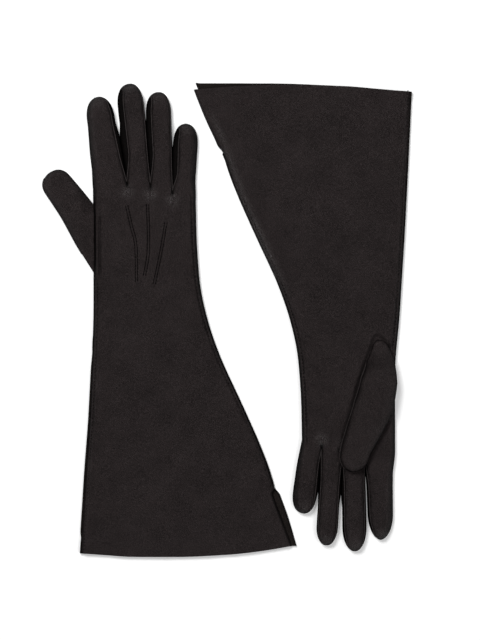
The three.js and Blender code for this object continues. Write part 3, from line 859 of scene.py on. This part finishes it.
def leather(name, colour, roughness, sheen, grain):
    """Grained leather: pebbles with darker valleys, a soft uneven shine, faint worn patches, painted shade
    on steep places, and painted highlights (with real wear on one cuff) where the mesh marks them.
    """
    material = bpy.data.materials.new(name)
    material.use_nodes = True
    nodes, links = material.node_tree.nodes, material.node_tree.links
    shader = nodes["Principled BSDF"]

    def stored(name):
        node = nodes.new("ShaderNodeAttribute")
        node.attribute_name = name
        return node

    place = stored("rest")

    def noise(scale, detail):
        node = nodes.new("ShaderNodeTexNoise")
        node.inputs["Scale"].default_value = scale
        node.inputs["Detail"].default_value = detail
        links.new(place.outputs["Vector"], node.inputs["Vector"])
        return node.outputs["Fac"]

    def spread(value, low, high, to_low, to_high):
        node = nodes.new("ShaderNodeMapRange")
        node.inputs["From Min"].default_value = low
        node.inputs["From Max"].default_value = high
        node.inputs["To Min"].default_value = to_low
        node.inputs["To Max"].default_value = to_high
        links.new(value, node.inputs["Value"])
        return node.outputs["Result"]

    def math_node(operation, first, second):
        node = nodes.new("ShaderNodeMath")
        node.operation = operation
        for socket, value in zip(node.inputs, (first, second)):
            if isinstance(value, float):
                socket.default_value = value
            else:
                links.new(value, socket)
        return node.outputs["Value"]

    cells = nodes.new("ShaderNodeTexVoronoi")
    cells.feature = "DISTANCE_TO_EDGE"
    cells.inputs["Scale"].default_value = 0.85
    links.new(place.outputs["Vector"], cells.inputs["Vector"])
    pebble = spread(cells.outputs["Distance"], 0.0, 0.22, 0.0, 1.0)
    fine = noise(1.8, 3.0)
    patches = noise(0.05, 3.0)
    scuffs = spread(noise(0.3, 6.0), 0.60, 0.74, 0.0, 1.0)
    # Steep places, in seams, grooves and folds, get painted shade: darker colour and less specular,
    # standing in for the surface turning away from the light above.
    painted_shade_by_slope = spread(stored("slope").outputs["Fac"], 0.22, 0.80, 1.0, 0.12)
    wear_and_painted_highlight = stored("wear_and_painted_highlight").outputs["Fac"]

    height = math_node("ADD", pebble, math_node("MULTIPLY", fine, 1.6))
    bump = nodes.new("ShaderNodeBump")
    bump.inputs["Strength"].default_value = grain
    bump.inputs["Distance"].default_value = 0.0008
    links.new(height, bump.inputs["Height"])
    links.new(bump.outputs["Normal"], shader.inputs["Normal"])

    lightness = math_node("ADD", spread(pebble, 0.0, 1.0, 0.42, 0.74), spread(fine, 0.3, 0.7, -0.36, 0.42))
    lightness = math_node("ADD", lightness, spread(patches, 0.3, 0.7, -0.08, 0.12))
    lightness = math_node("ADD", lightness, math_node("MULTIPLY", scuffs, 0.15))
    # Painted highlights below the crotches and at the fingertips, and the rubbed wear on the left cuff,
    # lighten the colour.
    lightness = math_node("ADD", lightness, math_node("MULTIPLY", wear_and_painted_highlight, 0.25))
    # Painted shade: steep places are darkened.
    lightness = math_node("MULTIPLY", lightness, painted_shade_by_slope)
    tone = nodes.new("ShaderNodeMix")
    tone.data_type = "RGBA"
    tone.inputs[6].default_value = (0.0, 0.0, 0.0, 1)
    tone.inputs[7].default_value = (*colour, 1)
    links.new(lightness, tone.inputs[0])
    links.new(tone.outputs[2], shader.inputs["Base Color"])
    dull = spread(fine, 0.3, 0.7, roughness - 0.06, roughness + 0.08)
    links.new(math_node("SUBTRACT", dull, math_node("MULTIPLY", wear_and_painted_highlight, 0.20)), shader.inputs["Roughness"])
    gloss = math_node("MULTIPLY", painted_shade_by_slope, spread(fine, 0.3, 0.7, 0.6 * sheen, 1.4 * sheen))
    glints = math_node("MULTIPLY", wear_and_painted_highlight, spread(fine, 0.42, 0.62, 1.0 * sheen, 11.0 * sheen))
    gloss = math_node("ADD", gloss, glints)
    links.new(gloss, shader.inputs["Specular IOR Level"])
    return material


GRAIN, SHADE_PAINTED_STRIP, FLESH, THREAD, WELT = range(5)
LEATHERS = [
    leather("grained_leather", (0.0520, 0.0404, 0.0407), 0.44, 0.20, 1.0),
    # The fourchettes' near-black colour is painted shade: they are the same leather, darkened for the
    # shade that falls between the fingers.
    leather("fourchette_leather", (0.0040, 0.0031, 0.0030), 0.60, 0.03, 0.35),
    leather("flesh_side", (0.030, 0.024, 0.022), 0.85, 0.08, 0.9),
    leather("thread", (0.0010, 0.0008, 0.0008), 0.60, 0.02, 0.1),
    leather("seam_roll_leather", (0.0380, 0.0297, 0.0296), 0.46, 0.18, 0.3),
]


# ---------------------------------------------------------------- one glove


def carry(piece, glove, part):
    """The piece moves with its part of the glove when that is the gauntlet or the hand; any other piece
    only has its placement baked into its mesh.
    """
    side = glove.side
    if part in ("gauntlet", "hand"):
        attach(piece, f"{side}_{part}")
        return
    if part == "wrist":
        bodies, line = ("gauntlet", "hand"), ((0, BEND_FROM), (0, BEND_TO))
    elif part == "thumb":
        bodies, line = ("hand", "thumb"), glove.thumb_bend()
    else:
        finger = glove.fingers[part]
        bodies = ("hand", part)
        line = (finger["base"], finger["base"] + KNUCKLE_BEND * finger["along"])
    start, end = glove.world([(*line[0], 5.0), (*line[1], 5.0)])
    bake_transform(piece)


def add_welts(skin):
    """The rolled edges of the seams that run round each finger beside its fourchettes."""
    glove = skin.glove
    for name in FINGERS:
        whole, _ = skin.leaves[True, name]
        left, right, tip = whole[4:, 0], whole[4:, -1], whole[-1, 1:-1]
        # The outer sides of the index and the little finger have no welt.
        sewn = ([] if name == "index" else [left]) + [tip] + ([] if name == "little" else [right[::-1]])
        path = skin.vertices[np.concatenate(sewn)] - [0, 0, 0.15]
        welt = tube(along_line(path, 0.9), WELT_RADIUS, WELT_RADIUS)
        carry(tube_object(f"{glove.side}_{name}_welt", glove, [welt], WELT), glove, name)


def add_tucks(skin):
    """The raised tucks on the back of the hand, and the two rows of thread beside each."""
    glove = skin.glove
    upper = glove.up == "back"
    ridges, threads = [], []
    for line in POINTS.values():
        path = along_line(curve_through(line), 0.8)
        taper = np.minimum(1, np.minimum(np.arange(len(path)) + 1, np.arange(len(path))[::-1] + 1) / 7)
        ridge = on_skin(skin, path, upper, -0.25)
        height = 1.0 if upper else 0.5
        ridges.append(tube(ridge, TUCK_WIDTH / 2, height, around=12, taper=taper))
        for away in (-1, 1):
            beside = push(path, away, TUCK_WIDTH / 2 + 0.4)[1:-1]
            threads += stitches(skin, beside, upper, 2.6, 0.2, 0.36, 0.15)
    side = glove.side
    carry(tube_object(f"{side}_points", glove, ridges, GRAIN), glove, "hand")
    carry(tube_object(f"{side}_point_stitches", glove, threads, THREAD), glove, "hand")


def add_side_stitches(skin):
    """The sewn lines just inside the long edges of hand and gauntlet, on both faces."""
    glove = skin.glove
    found = {part: [] for part, _ in ROWS}
    for upper in (True, False):
        face = skin.fields[upper][0]
        # Both lines end in the hand: beside the thumb, and below the little finger.
        thumb_end = 256.0 if glove.side == "right" and face == "back" else BAND_TO
        edges = ((glove.thumb_edge, 1, 6.0, thumb_end), (glove.little_edge, -1, VENT_Y, 322.0))
        for edge, away, low, high in edges:
            stretches = zip(found, (low, BAND_FROM, BAND_TO), (BAND_FROM, BAND_TO, high))
            for part, start, end in stretches:
                if end <= start:
                    continue
                y = np.arange(start, end, 0.5)
                line = np.stack([edge(y) + away * SEAM_INSET, y], axis=1)
                found[part] += stitches(skin, line, upper, 1.9, 1.3, 0.26, 0.1)
    for part, tubes in found.items():
        carry(tube_object(f"{glove.side}_{part}_stitches", glove, tubes, THREAD), glove, part)


def add_thumb(glove):
    """A thumb, and the seam that closes it along one side."""
    vertices, faces, side_line = thumb_mesh(glove)
    world = glove.world(vertices)
    normals = vertex_normals(world, faces)
    piece = mesh_object(f"{glove.side}_thumb_skin", world, faces, normals, np.full(len(faces), GRAIN))
    carry(piece, glove, "thumb")
    welt = tube(along_line(side_line, 1.0), 0.5, 0.5)
    carry(tube_object(f"{glove.side}_thumb_welt", glove, [welt], WELT), glove, "thumb")


def build_glove(side):
    """All the visual pieces of one glove."""
    glove = Glove(side)
    skin = Skin(glove)
    world = glove.world(skin.vertices)
    normals = vertex_normals(world, skin.faces)
    for part in ("gauntlet", "wrist", "hand", *FINGERS):
        carry(skin_piece(f"{side}_{part}_skin", skin, part, world, normals), glove, part)
    add_thumb(glove)
    add_welts(skin)
    add_tucks(skin)
    add_side_stitches(skin)


def replace_nodes():
    """Each visual piece stands for the CAD nodes of its own part of the glove."""
    for side in ("right", "left"):
        tucks = [f"{side}_{name}_point" for name in POINTS]
        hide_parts(*tucks)
        for part in ("gauntlet", "hand", *FINGERS, "thumb"):
            names = [n for n in frame["nodes"] if n.startswith(f"{side}_{part}_") and n not in tucks]
            if part == "gauntlet":
                names.append(f"{side}_hem")
            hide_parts(*names)


# ---------------------------------------------------------------- camera, floor and light


def stage():
    """A pale floor, soft light from above and a camera that looks straight down."""
    floor_mesh = bpy.data.meshes.new("floor")
    half = 6.0
    floor_mesh.from_pydata([(-half, -half, 0), (half, -half, 0), (half, half, 0), (-half, half, 0)],
                           [], [(0, 1, 2, 3)])
    floor = bpy.data.objects.new("floor", floor_mesh)
    bpy.context.scene.collection.objects.link(floor)
    paper = bpy.data.materials.new("paper")
    paper.use_nodes = True
    shader = paper.node_tree.nodes["Principled BSDF"]
    shader.inputs["Base Color"].default_value = (0.9, 0.9, 0.9, 1)
    shader.inputs["Roughness"].default_value = 0.9
    shader.inputs["Specular IOR Level"].default_value = 0.1
    shader.inputs["Emission Color"].default_value = (1, 1, 1, 1)
    shader.inputs["Emission Strength"].default_value = 0.25
    floor_mesh.materials.append(paper)

    world = bpy.data.worlds.new("studio")
    world.use_nodes = True
    world.node_tree.nodes["Background"].inputs["Color"].default_value = (1, 1, 1, 1)
    world.node_tree.nodes["Background"].inputs["Strength"].default_value = 0.06
    bpy.context.scene.world = world

    for name, place, size, power in (
        ("overhead", (-0.55, 0.75, 1.5), 0.8, 27),
        ("fill", (0.9, -0.5, 1.4), 1.0, 10),
    ):
        light = bpy.data.lights.new(name, "AREA")
        light.shape = "DISK"
        light.size = size
        light.energy = power
        lamp = bpy.data.objects.new(name, light)
        lamp.location = place
        lamp.rotation_euler = (-Vector(place)).to_track_quat("-Z", "Y").to_euler()
        bpy.context.scene.collection.objects.link(lamp)

    camera = bpy.data.cameras.new("camera")
    camera.lens = 100
    camera.sensor_width = 36
    seen_length, aim_x, aim_height = 0.5952, 0.0116, 0.006
    distance = seen_length * camera.lens / camera.sensor_width
    seer = bpy.data.objects.new("camera", camera)
    seer.location = (aim_x, 0, distance + aim_height)
    bpy.context.scene.collection.objects.link(seer)
    bpy.context.scene.camera = seer
    bpy.context.scene.view_settings.view_transform = "Standard"


for glove_side in ("right", "left"):
    build_glove(glove_side)
replace_nodes()
stage()
